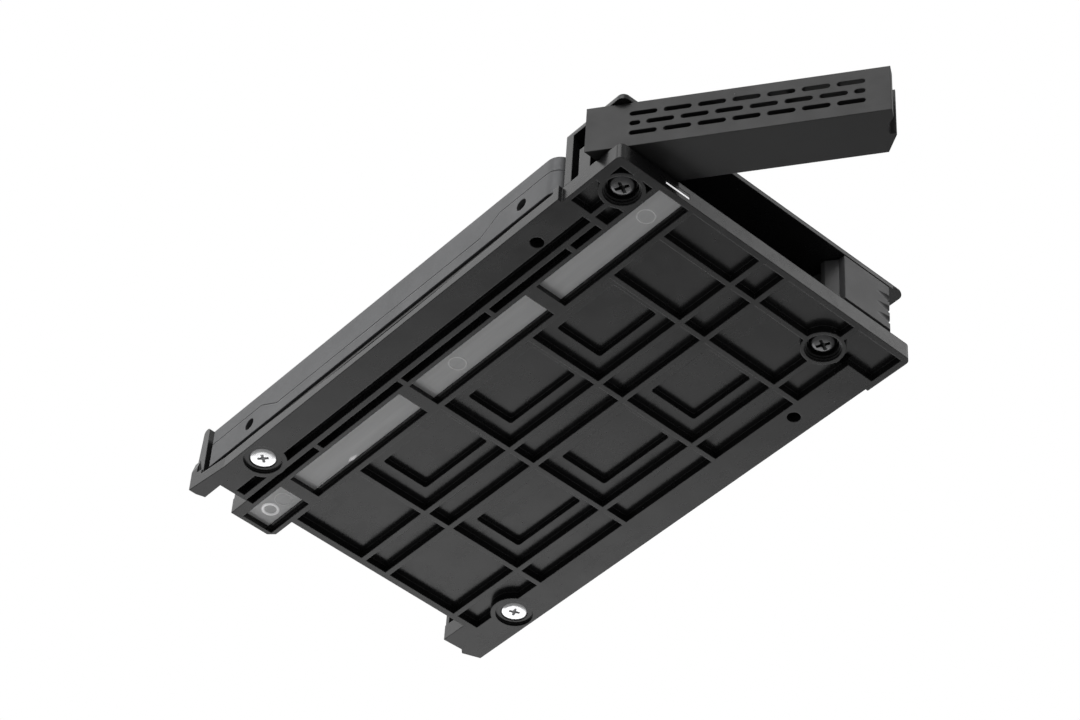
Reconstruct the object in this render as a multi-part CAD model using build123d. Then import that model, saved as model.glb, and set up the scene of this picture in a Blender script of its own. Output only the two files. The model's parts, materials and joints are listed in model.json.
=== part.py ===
from build123d import *
import os

os.makedirs("parts", exist_ok=True)

# Millimetres. +Z up with the underside at Z = 0, front at -Y, +X to the right seen from the front.
# The origin lies between the four drive screw holes of the tray.

# The 2.5 inch drive: its case and screw holes.
DRIVE_W = 69.85
DRIVE_L = 100.2
DRIVE_T = 9.5
HOLE_TO_SIDE = 4.065
HOLE_TO_FRONT = 9.6
HOLE_TO_PLUG = 14.0
SIDE_HOLE_H = 3.0
M3_TAP_R = 1.25
HOLE_DEEP = 3.0
CASE_SETBACK = 2.3
CASE_CORNER_R = 3.0
COVER_SHEET = 0.6
COVER_EDGE = 0.4
GASKET_T = 0.5
SEAM_HIGH = 5.7
SEAM_LOW = 2.9
SEAM_GAP = 0.15
SEAM_FRONT = (15.4, 20.4)
SEAM_BACK = (22.3, 17.3)

# The drive's plug.
PLUG_X = 4.9
PLUG_W = 42.2
PLUG_L = 6.2
PLUG_Z = (0.2, 5.6)
PLUG_WALL = 1.2
PLUG_FLOOR = 0.8
PLUG_LIP_Z = 2.2
BLADE_IN = 2.4
BLADE_W = (20.5, 10.3)
BLADE_GAP = 3.1
BLADE_Z = (3.0, 4.1)
BLADE_L = 4.7
PIN_COUNTS = (15, 7)
PIN_W = 0.6
PIN_L = 3.7
PIN_T = 0.18

# The drive's motor, board and small screws.
MOTOR_TO_FRONT = 35.9
MOTOR_R = 12.0
MOTOR_RING = (4.0, 9.5)
MOTOR_Z = (0.35, 1.4)
DISH_R = 27.0
DISH_HUB_R = 13.0
DISH_DEEP = 0.25
BOARD_IN = 7.3
BOARD_L = 48.8
BOARD_Z = (0.25, 1.05)
BOARD_NOTCH = (17.6, 8.1)
BAY_DEEP = 2.2
FOAM_T = 0.4
FOAM_IN = 0.8
CHIP_H = 0.95
CHIPS = (
    (-0.22, 0.43, 0.43, 0.25), (0.43, 0.47, 0.33, 0.23),
    (-0.72, 0.67, 0.25, 0.14), (-0.65, 0.26, 0.22, 0.1),
)
COVER_SCREW_IN = 3.725
COVER_SCREW_HEAD = (1.7, 0.5)
COVER_SCREW_R = 0.7
COVER_SCREW_L = 3.0
BOARD_SCREW_R = 0.9
BOARD_SCREW_HEAD = (1.5, 0.2)
BOARD_SCREW_L = 1.95

# Clearances.
SLIDE_FIT = 0.025
FIT = 0.2
RUN_GAP = 0.06
NEAR = 0.1

# The tray plate.
PLATE_T = 3.5
RAIL_W = 6.55
BOX_GAP = 0.7
BOX_DEEP = 14.4
SILL = 1.25
BACK_RIM = 1.4
REAR_STEP = 4.4
WING_OUT = 0.55
WING_L = 10.7
INSET = 0.85
INSET_END = 0.3
PLATE_CORNER_R = 1.2
RIB = 1.1
CELL_DEEP = 1.6
SPINE_W = 5.9
SIDE_COLUMN = 5.4
ROW_START = 0.195 * DRIVE_L
ROW_PITCH = 0.241 * DRIVE_L
FRONT_RIBS = (21.75, 9.05)
WELL_DEEP = 2.9
WELL_SIDES = (2.5, 2.95)
WELL_ENDS = (1.8, 3.6)
WELL_CORNER_R = 0.5
LEDGE_Z = 2.4
LEDGE_IN = 0.4
LEDGE_ENDS = (0.9, 0.8)
ARC_Z = 1.4
ARC_DEEP = 1.3
ARC_ENDS = (9.9, 18.3)

# Grooves beside the left rail, measured in from the rail's outer face.
OUTER_GROOVE = (5.65, 7.45)
INNER_GROOVE = (8.55, 10.05)
OUTER_GROOVE_DEEP = 2.2
INNER_GROOVE_DEEP = 2.6

# The light pipe, its windows and the bars across them.
PIPE_IN = 11.35
PIPE_W = 5.3
PIPE_Z = (1.0, 2.1)
PIPE_OUT = 0.5
WINDOW_SIDES = (0.4, 1.0)
BAR_W = 2.9
BAR_BACK = 12.125
BAR_PITCH = 0.3447 * DRIVE_L

# Rear feet, tab and guide posts.
TAB_OUT = 1.6
TAB_CORNER = 1.2
FOOT_OUT = 2.15
FOOT_WIDE = 0.81
FOOT_TAPER_L = 9.65
FOOT_CORNER_R = 0.8
TOE_IN = 3.55
TOE_L = 0.85
NOTCH_IN = 2.6
NOTCH_STEP = 1.35
POST_OUT = 0.25
POST_W = 2.6
POST_Y = (0.9, 1.8)
POST_LEAN = 1.0
POST_OVER = 1.5
GUSSET_Z = (4.4, 6.8)
GUSSET_Y = 0.6
UPSTAND_T = 1.25
UPSTAND_W = 2.0
UPSTAND_H = (2.5, 3.5)

# The front box over the plate.
HEAD_ROOM = 2.3
ROOF_T = 1.75
BOX_WALL = 1.8
BOX_EDGE_R = 1.0
BOX_CORNER_R = 1.5
BOX_END = 0.4
LIP_T = 1.05
VENT_COUNT = 7
VENT_PITCH = 8.0
VENT_W = 6.0
VENT_Z = (0.3, 1.4)

# The lever, given closed from its hinge and turned open by OPEN.
HINGE_BACK = 5.8
OPEN = 54.5
LEVER_GAPS = (0.5, 0.2)
LEVER_TIP = 46.9
LEVER_END = -5.3
LEVER_FACE = -6.3
LEVER_BACK = 3.0
LEVER_WALL = 1.5
TIP_SLANT = (1.9, 0.6)
END_SLANT = (2.36, 3.3)
EYE_R = 4.2
POST_R = 1.9
CHANNEL_ENDS = (5.2, 4.2)
WEB_AT = (14.5, 29.0)
WEB_T = 1.0
WEB_H = 1.7
SLOT_L = 4.8
SLOT_H = 1.1
SLOT_PITCH = 5.92
SLOT_START = 2.3
SLOT_SHORT = 1.9
SLOT_RISE = 0.2
SLOT_ROW_PITCH = 2.45
SLOT_COUNT = 7
CATCH = (-4.4, -2.9, -1.0)
CATCH_DEEP = 1.1
STOP_W = 2.2
STOP_FRONT = (1.95, 3.15)
STOP_H = 6.5

# The latch, measured from its pivot.
PIVOT_IN = 12.65
PIVOT_BACK = 8.7
LATCH_GAPS = (0.7, 0.3)
LATCH_X = (-3.1, 8.9)
LATCH_EYE_R = 3.7
LATCH_CORNER = 0.8
LATCH_PAD_T = 3.4
NOSE_X = -4.7
NOSE_Y = (3.4, 4.4)
NOSE_ROOT = 1.4
GRIP_COUNT = 3
GRIP_R = 1.0
GRIP_DEEP = 0.6
GRIP_PITCH = 2.7
GRIP_START = 2.3
GRIP_TILT = 8.5

# The pivot screws, from the stepped bore in the plate up into their posts.
BOSS_R = 4.1
WELL_TOP = 2.5
BORE_STEPS = ((3.35, 0.45), (3.1, 0.95), (2.85, WELL_TOP))
SCREW_HEAD_R = 2.5
SCREW_HEAD_T = 1.2
SCREW_EDGE = 0.45
SCREW_R = 1.25
SCREW_SHORT = 2.3
THREAD_BITE = 0.1
CROSS = (2.6, 0.6, 0.9)
CROSS_TURN = 25
WASHER_R = 2.75
WASHER_T = 0.4

# The square pocket, small cells and slot round the pivots, measured from the pivots.
POCKET_X = (-3.9, 3.3)
POCKET_Y = (-4.0, 1.2)
POCKET_DEEP = 2.6
OUTER_CELL = ((-4.8, -0.3), (1.2, 7.5))
INNER_CELL = ((0.7, 3.4), (3.4, 7.5))
PIVOT_SLOT = (4.2, (-1.1, 1.5))

# The silver drive screws.
SEAT_R = 3.6
SEAT_Z = 0.5
SEAT_BOSS_R = 4.6
FLAT_HEAD = (2.5, 1.5, 1.6)
FLAT_CROSS = (2.4, 0.55, 0.65)
FLAT_TURN = 40
FLAT_BITE = 2.6

# The torsion springs.
WIRE = 0.5
WIRE_SIDES = 6
COIL_R = 2.7
COIL_TURNS = 2
COIL_SPACE = 0.12
COIL_POCKET_R = 3.1
LEG_L = (6.0, 3.6)
SPRING_MOUTH = 0.9

HOLE_X = DRIVE_W - 2 * HOLE_TO_SIDE
HOLE_Y = DRIVE_L - HOLE_TO_FRONT - HOLE_TO_PLUG
DRIVE_Z = PLATE_T
DRIVE_TOP = DRIVE_Z + DRIVE_T
DRIVE_BACK = HOLE_Y / 2 + HOLE_TO_PLUG
DRIVE_FRONT = DRIVE_BACK - DRIVE_L
CASE_BACK = DRIVE_BACK - CASE_SETBACK
CASE_TOP = DRIVE_TOP - COVER_SHEET - GASKET_T
MOTOR = (0, DRIVE_FRONT + MOTOR_TO_FRONT)
PLUG_SIDES = (PLUG_X - PLUG_W / 2, PLUG_X + PLUG_W / 2)
HOLES = [(x * HOLE_X / 2, y * HOLE_Y / 2) for x in (-1, 1) for y in (-1, 1)]
REAR_HOLES = [(x * HOLE_X / 2, HOLE_Y / 2) for x in (-1, 1)]

RAIL_X = DRIVE_W / 2 + SLIDE_FIT
RAIL_IN = RAIL_X - RAIL_W
BOX_REAR = DRIVE_FRONT - BOX_GAP
FRONT_Y = BOX_REAR - BOX_DEEP
BACK_Y = DRIVE_BACK - REAR_STEP
WING_X = RAIL_X + WING_OUT
WING_Y = FRONT_Y + WING_L
INSET_X = RAIL_X - INSET
INSET_Y = BOX_REAR + INSET_END
FOOT_IN = PLUG_SIDES[1] + FIT
TAB_RIGHT = PLUG_SIDES[0] - FIT
TAB_Y = DRIVE_BACK + TAB_OUT
FOOT_Y = DRIVE_BACK + FOOT_OUT
FOOT_X = RAIL_X + FOOT_WIDE
PIPE_X = (PIPE_IN - RAIL_X, PIPE_IN + PIPE_W - RAIL_X)
PIPE_BACK = DRIVE_BACK + PIPE_OUT
WINDOW_X = (PIPE_X[0] - WINDOW_SIDES[0], PIPE_X[1] + WINDOW_SIDES[1])
COLUMN_RIBS = (WINDOW_X[1] + RIB / 2, 0.0, SPINE_W, RAIL_IN - SIDE_COLUMN)
REAR_RIBS = [BACK_Y - ROW_START - ROW_PITCH * i for i in range(3)]
ROW_RIBS = REAR_RIBS + [FRONT_Y + y for y in FRONT_RIBS]

ROOF_Z = DRIVE_TOP + HEAD_ROOM
BOX_TOP = ROOF_Z + ROOF_T
BOX_RIGHT = RAIL_X - BOX_END
HINGE = (-RAIL_IN, FRONT_Y + HINGE_BACK)
PIVOT = (RAIL_X - PIVOT_IN, FRONT_Y + PIVOT_BACK)
LEVER_Z = (PLATE_T + LEVER_GAPS[0], ROOF_Z - LEVER_GAPS[1])
LATCH_Z = (PLATE_T + LATCH_GAPS[0], ROOF_Z - LATCH_GAPS[1])
SCREW_TOP = ROOF_Z - SCREW_SHORT
COIL_TOP = ROOF_Z - LATCH_GAPS[1]
COIL_PITCH = WIRE + COIL_SPACE
COIL_LOW = COIL_TOP - WIRE - COIL_PITCH * COIL_TURNS
COIL_POCKET = (COIL_LOW - FIT, 2 * BOX_TOP)
FAR = 2 * DRIVE_L
ALL = (-FAR, FAR)


def block(x, y, z):
    """A box between the two values given for each axis."""
    size = (x[1] - x[0], y[1] - y[0], z[1] - z[0])
    middle = ((x[0] + x[1]) / 2, (y[0] + y[1]) / 2, (z[0] + z[1]) / 2)
    return Pos(*middle) * Box(*size)


def rod(at, r, z):
    """An upright cylinder between two heights."""
    return Pos(at[0], at[1], (z[0] + z[1]) / 2) * Cylinder(r, z[1] - z[0])


def prism(points, z):
    """An upright prism over a closed outline."""
    face = make_face(Polyline(*points, close=True))
    return Pos(0, 0, z[0]) * extrude(face, z[1] - z[0])


def upright(part):
    """The part's edges that run along Z."""
    return part.edges().filter_by(Axis.Z)


def rounded(part, spots, r):
    """Rounds the upright edges that stand at the given places."""
    found = []
    for x, y in spots:
        for edge in upright(part):
            if abs(edge.center().X - x) < NEAR and abs(edge.center().Y - y) < NEAR:
                found.append(edge)
    return fillet(found, r)


def about(at, x, y, z):
    """A box whose X and Y are given from a point."""
    return block((at[0] + x[0], at[0] + x[1]), (at[1] + y[0], at[1] + y[1]), z)


def opened(part):
    """Turns a part of the closed lever to its open rest pose."""
    turn = Pos(HINGE[0], HINGE[1], 0) * Rot(0, 0, -OPEN) * Pos(-HINGE[0], -HINGE[1], 0)
    return turn * part


def plate_outline():
    """The plate from above: rails, the stepped front, the plug's cut-out, tab and feet."""
    return [
        (-INSET_X, FRONT_Y), (WING_X, FRONT_Y), (WING_X, WING_Y), (RAIL_X, WING_Y),
        (RAIL_X, TAB_Y - TOE_L), (RAIL_X - TOE_IN, FOOT_Y), (RAIL_X - TOE_IN - TOE_L, FOOT_Y - TOE_L),
        (FOOT_IN, TAB_Y - NEAR), (FOOT_IN, BACK_Y), (TAB_RIGHT, BACK_Y),
        (TAB_RIGHT, TAB_Y - TAB_CORNER), (TAB_RIGHT - TAB_CORNER, TAB_Y),
        (-FOOT_IN, TAB_Y), (-FOOT_IN, BACK_Y + NOTCH_STEP), (NOTCH_IN - RAIL_X, BACK_Y + NOTCH_STEP),
        (NOTCH_IN - RAIL_X, TAB_Y), (INSET - RAIL_X, FOOT_Y), (-FOOT_X, FOOT_Y),
        (-RAIL_X, FOOT_Y - FOOT_TAPER_L), (-RAIL_X, INSET_Y), (-INSET_X, INSET_Y),
    ]


def cell_rows():
    """Front and rear Y of each row of cells, rear row first."""
    edges = [BACK_Y - BACK_RIM] + [y for rib in ROW_RIBS for y in (rib + RIB / 2, rib - RIB / 2)]
    edges.append(FRONT_Y + SILL)
    return [(edges[i + 1], edges[i]) for i in range(0, len(edges), 2)]


def cell_columns():
    """Left and right X of each column of cells."""
    edges = [x for rib in COLUMN_RIBS for x in (rib - RIB / 2, rib + RIB / 2)][1:]
    edges.append(RAIL_IN)
    return [(edges[i], edges[i + 1]) for i in range(0, len(edges), 2)]


def well(x, y):
    """The deeper pocket inside one wide cell, with rounded corners."""
    across = (x[0] + WELL_SIDES[0], x[1] - WELL_SIDES[1])
    along = (y[0] + WELL_ENDS[0], y[1] - WELL_ENDS[1])
    return fillet(upright(block(across, along, (0, WELL_DEEP))), WELL_CORNER_R)


def cells():
    """The cells of the underside, the last one wider, and the deep wells in the wide columns."""
    rows = cell_rows()
    columns = cell_columns()
    cuts = []
    for r, y in enumerate(rows):
        for c, x in enumerate(columns):
            corner = r == len(rows) - 1 and c == len(columns) - 1
            right = WING_X - SILL if corner else x[1]
            cuts.append(block((x[0], right), y, (-FAR, CELL_DEEP)))
            if r in (1, 2, 3) and c in (0, 2):
                cuts.append(well(x, y))
    return cuts


def left_channel():
    """The two grooves beside the left rail, the light pipe's bed and its windows."""
    outer = (OUTER_GROOVE[0] - RAIL_X, OUTER_GROOVE[1] - RAIL_X)
    inner = (INNER_GROOVE[0] - RAIL_X, INNER_GROOVE[1] - RAIL_X)
    cuts = [block(outer, (INSET_Y, BACK_Y + INSET_END), (-FAR, OUTER_GROOVE_DEEP))]
    stops = [BACK_Y + RIB] + [y + d for y in ROW_RIBS[:4] for d in (RIB / 2, -RIB / 2)] + [INSET_Y]
    for i in range(0, len(stops), 2):
        cuts.append(block(inner, (stops[i + 1], stops[i]), (-FAR, INNER_GROOVE_DEEP)))
    bed = (PIPE_X[0] - FIT / 2, PIPE_X[1] + FIT / 2)
    cuts.append(block(bed, (-FAR, PIPE_BACK + FIT / 2), (PIPE_Z[0], PIPE_Z[1] + FIT / 2)))
    bars = [DRIVE_BACK - BAR_BACK - BAR_PITCH * i for i in (2, 1, 0)]
    ends = [FRONT_Y + SILL] + [y + d for y in bars for d in (-BAR_W / 2, BAR_W / 2)] + [PIPE_BACK + FIT]
    for i in range(0, len(ends), 2):
        cuts.append(block(WINDOW_X, (ends[i], ends[i + 1]), (-FAR, PIPE_Z[0])))
    return cuts


def pivot_surround():
    """Square pocket and small cells round the left pivot, and the slot beside the right one."""
    slot_x, slot_y = PIVOT_SLOT
    side_slot = block((PIVOT[0] + slot_x, RAIL_IN), (PIVOT[1] + slot_y[0], PIVOT[1] + slot_y[1]), ALL)
    return [
        about(HINGE, POCKET_X, POCKET_Y, (-FAR, POCKET_DEEP)),
        about(HINGE, *OUTER_CELL, (-FAR, CELL_DEEP)),
        about(HINGE, *INNER_CELL, (-FAR, CELL_DEEP)),
        side_slot,
    ]


def stepped_bore(at):
    """The three steps round a pivot screw's head and the clear hole above them."""
    bore = rod(at, SCREW_R + FIT, ALL)
    for r, top in BORE_STEPS:
        bore = bore + rod(at, r, (-FAR, top))
    return bore


def rail_side(side):
    """Cuts for one rail's outer side: the inset ledge and the long shallow arc under it."""
    x = sorted((side * (RAIL_X - LEDGE_IN), side * FAR))
    ledge = block(x, (DRIVE_FRONT + LEDGE_ENDS[0], DRIVE_BACK - LEDGE_ENDS[1]), (LEDGE_Z, PLATE_T + FIT))
    start = (0, DRIVE_FRONT + ARC_ENDS[0], LEDGE_Z)
    end = (0, DRIVE_BACK - ARC_ENDS[1], LEDGE_Z)
    middle = (0, (start[1] + end[1]) / 2, ARC_Z)
    face = make_face([ThreePointArc(start, middle, end), Line(end, start)])
    hollow = extrude(face, 2 * ARC_DEEP, dir=(side, 0, 0))
    return [ledge, Pos(side * (RAIL_X - ARC_DEEP), 0, 0) * hollow]


def guide_post(side):
    """One rear guide blade, which leans forward and eases in at its top."""
    x = RAIL_X if side > 0 else RAIL_X + POST_OUT
    front = DRIVE_BACK - POST_Y[0]
    rear = DRIVE_BACK + POST_Y[1]
    top = DRIVE_TOP + POST_OVER
    outline = [(front, 0), (rear, 0), (rear - POST_LEAN, top), (front, top)]
    face = make_face(Polyline(*[(side * x, y, z) for y, z in outline], close=True))
    blade = extrude(face, POST_W, dir=(-side, 0, 0))
    blade = fillet(blade.edges().filter_by(Axis.X).group_by(Axis.Z)[-1], FOOT_CORNER_R)
    if side < 0:
        blade = blade + gusset()
    return blade & prism(plate_outline(), (0, BOX_TOP))


def gusset():
    """The slanted widening of the left foot, behind the blade's front edge."""
    x = RAIL_X + POST_OUT
    low, high = GUSSET_Z
    outline = [(-FOOT_X, 0), (-FOOT_X, low), (-x, high), (POST_OUT - x, high), (POST_OUT - x, 0)]
    face = make_face(Polyline(*[(a, DRIVE_BACK + GUSSET_Y, b) for a, b in outline], close=True))
    return extrude(face, FOOT_Y - DRIVE_BACK - GUSSET_Y, dir=(0, 1, 0))


def stop_block():
    """The slanted block on the plate behind the open lever's end."""
    left = -INSET_X
    right = STOP_W - INSET_X
    near, far = (HINGE[1] + y for y in STOP_FRONT)
    outline = [(left, near), (right, far), (right, WING_Y), (left, WING_Y)]
    return prism(outline, (PLATE_T, PLATE_T + STOP_H))


def make_tray_base():
    """The black moulded plate with its ribbed underside."""
    plate = prism(plate_outline(), (0, PLATE_T))
    plate = rounded(plate, [(-INSET_X, FRONT_Y), (WING_X, FRONT_Y)], PLATE_CORNER_R)
    plate = rounded(plate, [(-FOOT_X, FOOT_Y), (RAIL_X, TAB_Y - TOE_L)], FOOT_CORNER_R)
    plate = plate - cells() - left_channel() - pivot_surround()
    for at in (HINGE, PIVOT):
        plate = plate + rod(at, BOSS_R, (0, PLATE_T))
    for at in REAR_HOLES:
        boss = rod(at, SEAT_BOSS_R, (0, PLATE_T))
        plate = plate + (boss & block((-RAIL_X, RAIL_X), ALL, ALL))
    for at in (HINGE, PIVOT):
        plate = plate - stepped_bore(at)
    for at in REAR_HOLES:
        plate = plate - rod(at, SEAT_R, (-FAR, SEAT_Z)) - screw_seat(at)
    for at in HOLES:
        plate = plate - rod(at, M3_TAP_R, ALL)
    for side in (-1, 1):
        plate = plate - rail_side(side)
        plate = plate + guide_post(side)
    low, high = (PLATE_T + h for h in UPSTAND_H)
    rear = (TAB_Y - UPSTAND_T, FOOT_Y - TOE_L)
    plate = plate + block((FOOT_IN, RAIL_X - POST_W), rear, (PLATE_T, high))
    plate = plate + block((-FOOT_IN, UPSTAND_W - FOOT_IN), rear, (PLATE_T, low))
    return plate + stop_block()


def screw_seat(at):
    """The countersink under a drive screw's head."""
    wide, narrow, deep = FLAT_HEAD
    return Pos(at[0], at[1], SEAT_Z + deep / 2) * Cone(wide + NEAR, narrow + NEAR, deep)


def make_light_pipe():
    """The clear bar that reaches from the front edge to the rear tab."""
    return block(PIPE_X, (FRONT_Y, PIPE_BACK), PIPE_Z)


def make_bezel_cover():
    """Roof and rear wall of the front box, with the two hinge posts."""
    cover = block((-INSET_X, BOX_RIGHT), (FRONT_Y, BOX_REAR), (ROOF_Z, BOX_TOP))
    cover = rounded(cover, [(-INSET_X, FRONT_Y), (BOX_RIGHT, FRONT_Y)], BOX_CORNER_R)
    cover = cover + block((-INSET_X, BOX_RIGHT), (BOX_REAR - BOX_WALL, BOX_REAR), (PLATE_T, BOX_TOP))
    cover = fillet(cover.faces().sort_by(Axis.Z)[-1].edges(), BOX_EDGE_R)
    end = (PIVOT[0] + LATCH_X[1] + LATCH_GAPS[1], FAR)
    cover = cover - block(end, (-FAR, BOX_REAR - BOX_WALL), (PLATE_T, BOX_TOP - LIP_T))
    for i in range(VENT_COUNT):
        x = (i - (VENT_COUNT - 1) / 2) * VENT_PITCH
        z = (DRIVE_TOP + VENT_Z[0], DRIVE_TOP + VENT_Z[1])
        cover = cover - block((x - VENT_W / 2, x + VENT_W / 2), (BOX_REAR - 2 * BOX_WALL, FAR), z)
    for at in (HINGE, PIVOT):
        cover = cover + rod(at, POST_R, (PLATE_T, ROOF_Z))
        cover = cover - rod(at, SCREW_R - THREAD_BITE, (0, SCREW_TOP + FIT))
    return cover


def lever_outline():
    """The closed lever from above: face, slanted tip, back and the bevelled hinge end."""
    points = [
        (LEVER_END, LEVER_FACE), (LEVER_TIP, LEVER_FACE), (LEVER_TIP, CATCH[0]),
        (LEVER_TIP - CATCH_DEEP, CATCH[1]), (LEVER_TIP - CATCH_DEEP, CATCH[2]), (LEVER_TIP, CATCH[2]),
        (LEVER_TIP, -TIP_SLANT[1]), (LEVER_TIP - TIP_SLANT[0], LEVER_BACK), (0, LEVER_BACK), (0, 0),
        (LEVER_END + END_SLANT[0], LEVER_FACE + END_SLANT[1]),
    ]
    return [(HINGE[0] + x, HINGE[1] + y) for x, y in points]


def grille_slots():
    """Staggered slots of the lever's face: two full rows and one offset row between them."""
    cuts = []
    span = (SLOT_COUNT - 1) * SLOT_PITCH + SLOT_L
    for row in (-1, 0, 1):
        ends = [(i * SLOT_PITCH, i * SLOT_PITCH + SLOT_L) for i in range(SLOT_COUNT)]
        if row == 0:
            ends = [(a + SLOT_PITCH / 2, b + SLOT_PITCH / 2) for a, b in ends[:-1]]
            ends = [(0, SLOT_SHORT)] + ends + [(span - SLOT_SHORT, span)]
        z = sum(LEVER_Z) / 2 + SLOT_RISE + row * SLOT_ROW_PITCH
        for a, b in ends:
            cut = extrude(Plane.XZ * SlotOverall(b - a, SLOT_H), LEVER_WALL + NEAR, both=True)
            cuts.append(Pos(HINGE[0] + SLOT_START + (a + b) / 2, HINGE[1] + LEVER_FACE, z) * cut)
    return cuts


def make_handle():
    """The lever: face plate with the grille, channel behind it, hinge eye and notched tip."""
    z = LEVER_Z
    body = prism(lever_outline(), z) + rod(HINGE, EYE_R, z)
    inside = (z[0] + LEVER_WALL, z[1] - LEVER_WALL)
    back = LEVER_FACE + LEVER_WALL
    body = body - about(HINGE, (CHANNEL_ENDS[0], LEVER_TIP - CHANNEL_ENDS[1]), (back, FAR), inside)
    for x in WEB_AT:
        body = body + about(HINGE, (x, x + WEB_T), (back, back + WEB_H), inside)
    body = body - grille_slots()
    body = body - rod(HINGE, POST_R + RUN_GAP, ALL)
    body = body - rod(HINGE, COIL_POCKET_R, COIL_POCKET)
    body = body - about(HINGE, (-COIL_R, EYE_R + WIRE), (SPRING_MOUTH, FAR), COIL_POCKET)
    groove = (COIL_R - WIRE, COIL_R + WIRE)
    body = body - about(HINGE, (0, LEG_L[0] + WIRE), groove, COIL_POCKET)
    return opened(body)


def latch_outline():
    """The latch from above: pressed face, hook nose and the web back to its eye."""
    front = FRONT_Y - PIVOT[1]
    points = [
        (LATCH_X[0], front), (LATCH_X[1] - LATCH_CORNER, front), (LATCH_X[1], front + LATCH_CORNER),
        (LATCH_X[1], front + LATCH_PAD_T), (POST_R + NOSE_ROOT, -NOSE_ROOT), (0, 0),
        (-POST_R - NOSE_ROOT, -POST_R), (LATCH_X[0] + RIB / 2, front + NOSE_Y[1]),
        (NOSE_X, front + NOSE_Y[1]), (NOSE_X, front + NOSE_Y[0]), (LATCH_X[0], front + NOSE_ROOT),
    ]
    return [(PIVOT[0] + x, PIVOT[1] + y) for x, y in points]


def grip_grooves():
    """Grooves across the latch's face that sink towards its right end and scallop that end."""
    cuts = []
    right = PIVOT[0] + LATCH_X[1]
    off = GRIP_R - GRIP_DEEP
    for i in range(GRIP_COUNT):
        z = LATCH_Z[0] + GRIP_START + GRIP_PITCH * i
        groove = Rot(0, 0, GRIP_TILT) * Rot(0, 90, 0) * Cylinder(GRIP_R, 4 * LATCH_PAD_T)
        cuts.append(Pos(right, FRONT_Y - off, z) * groove)
        scallop = Rot(90, 0, 0) * Cylinder(GRIP_R, 4 * LATCH_PAD_T)
        cuts.append(Pos(right + off, FRONT_Y, z) * scallop)
    return cuts


def make_latch():
    """The release block with its hook, grip grooves and hinge eye."""
    body = prism(latch_outline(), LATCH_Z) + rod(PIVOT, LATCH_EYE_R, LATCH_Z)
    body = body - grip_grooves()
    body = body - rod(PIVOT, POST_R + RUN_GAP, ALL)
    body = body - rod(PIVOT, COIL_POCKET_R, COIL_POCKET)
    body = body - about(PIVOT, (-POST_R, FAR), (SPRING_MOUTH, FAR), COIL_POCKET)
    groove = (COIL_R - WIRE, COIL_R + WIRE)
    return body - about(PIVOT, groove, (-LEG_L[1] - WIRE, 0), COIL_POCKET)


def torsion_spring(at, start_angle, turns, legs):
    """A coil around a hinge post whose two ends run on as straight tangent legs."""
    coil = Helix(pitch=COIL_PITCH, height=COIL_PITCH * turns, radius=COIL_R)
    first = Line(coil @ 0 - (coil % 0) * legs[0], coil @ 0)
    last = Line(coil @ 1, coil @ 1 + (coil % 1) * legs[1])
    section = Plane(origin=first @ 0, z_dir=first % 0) * RegularPolygon(WIRE / 2, WIRE_SIDES)
    wire = sweep(section, path=Wire([first, coil, last]), transition=Transition.ROUND)
    low = COIL_TOP - WIRE / 2 - COIL_PITCH * turns
    return Pos(at[0], at[1], low) * Rot(0, 0, start_angle) * wire


def make_handle_spring():
    """The spring that throws the lever open, one leg in the lever and one on the rear wall."""
    quarter = 90
    start = quarter - OPEN
    reach = BOX_REAR - BOX_WALL - HINGE[1] - WIRE
    return torsion_spring(HINGE, start, COIL_TURNS - start / 360, (LEG_L[0], reach))


def make_latch_spring():
    """The spring that returns the latch, one leg in the latch and one on the rear wall."""
    reach = BOX_REAR - BOX_WALL - PIVOT[1] - WIRE
    return torsion_spring(PIVOT, 0, COIL_TURNS, (LEG_L[1], reach))


def cross_recess(at, low, size, turn):
    """The two crossed bars cut into a screw's head from below."""
    length, width, deep = size
    bars = [Rot(0, 0, turn + a) * Box(length, width, 2 * deep) for a in (0, 90)]
    return [Pos(at[0], at[1], low) * bar for bar in bars]


def pan_screw(at):
    """A black pan head screw with a cross recess, head down."""
    low = WELL_TOP - WASHER_T - SCREW_HEAD_T
    head = rod(at, SCREW_HEAD_R, (low, low + SCREW_HEAD_T))
    head = chamfer(head.edges().sort_by(Axis.Z)[0], SCREW_EDGE)
    head = head - cross_recess(at, low, CROSS, CROSS_TURN)
    return head + rod(at, SCREW_R, (low + SCREW_HEAD_T, SCREW_TOP))


def flat_screw(at):
    """A silver countersunk screw with a cross recess, head down."""
    wide, narrow, deep = FLAT_HEAD
    head = Pos(at[0], at[1], SEAT_Z + deep / 2) * Cone(wide, narrow, deep)
    head = head - cross_recess(at, SEAT_Z, FLAT_CROSS, FLAT_TURN)
    return head + rod(at, M3_TAP_R, (SEAT_Z + deep - NEAR, DRIVE_Z + FLAT_BITE))


def washer(at):
    """A flat ring under a pivot screw's head."""
    return rod(at, WASHER_R, (WELL_TOP - WASHER_T, WELL_TOP)) - rod(at, SCREW_R + THREAD_BITE, ALL)


def case(inset, z):
    """The drive case's outline between two heights, drawn in by an amount."""
    x = DRIVE_W / 2 - inset
    y = (DRIVE_FRONT + inset, CASE_BACK - inset)
    radius = max(CASE_CORNER_R - inset, COVER_SHEET)
    return rounded(block((-x, x), y, z), [(-x, y[0]), (x, y[0])], radius)


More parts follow.
